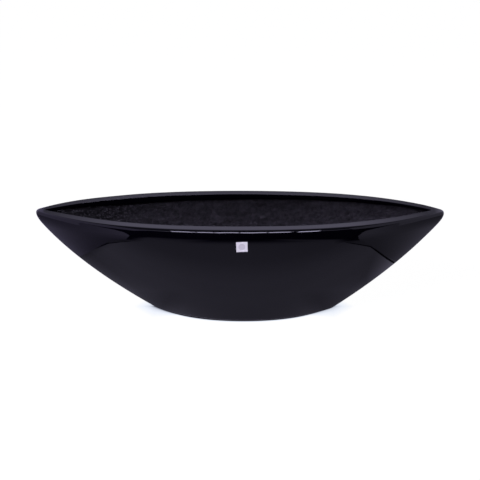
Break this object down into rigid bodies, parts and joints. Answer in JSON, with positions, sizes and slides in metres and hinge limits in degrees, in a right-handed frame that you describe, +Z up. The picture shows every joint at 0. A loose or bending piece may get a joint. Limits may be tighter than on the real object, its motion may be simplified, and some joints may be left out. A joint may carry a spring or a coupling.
{
  "type": "boat-shaped vase",
  "caption": "Long boat-shaped vase with pointed raked ends, a flat sole, a rolled gloss rim and a rough inner trough for plants or dried flowers.",
  "frame": {"origin": "middle of the overall box on the ground plane, under the foot pads", "axes": "+X along the length to the right, -Y to the side with the badge, +Z up out of the opening"},
  "size_m": [0.8, 0.2363, 0.21],
  "materials": {
    "gloss_black": "high-gloss black lacquer on fibre-reinforced resin",
    "rough_black": "rough black fibre and resin lining, unpolished",
    "foam": "rigid cream foam, hidden inside the double wall",
    "board": "plain plywood, hidden in the base",
    "badge": "satin silver plate, blank",
    "tape": "white foam tape",
    "felt": "dark pressed felt"
  },
  "bodies": {
    "root": {"outer_shell": "gloss_black", "rim_moulding": "gloss_black", "inner_trough": "rough_black", "foam_core": "foam", "base_board": "board", "badge_plate": "badge", "badge_tape": "tape", "foot_pad_front_left": "felt", "foot_pad_front_right": "felt", "foot_pad_back_left": "felt", "foot_pad_back_right": "felt", "foot_pad_left_end": "felt", "foot_pad_right_end": "felt"}
  },
  "joints": []
}
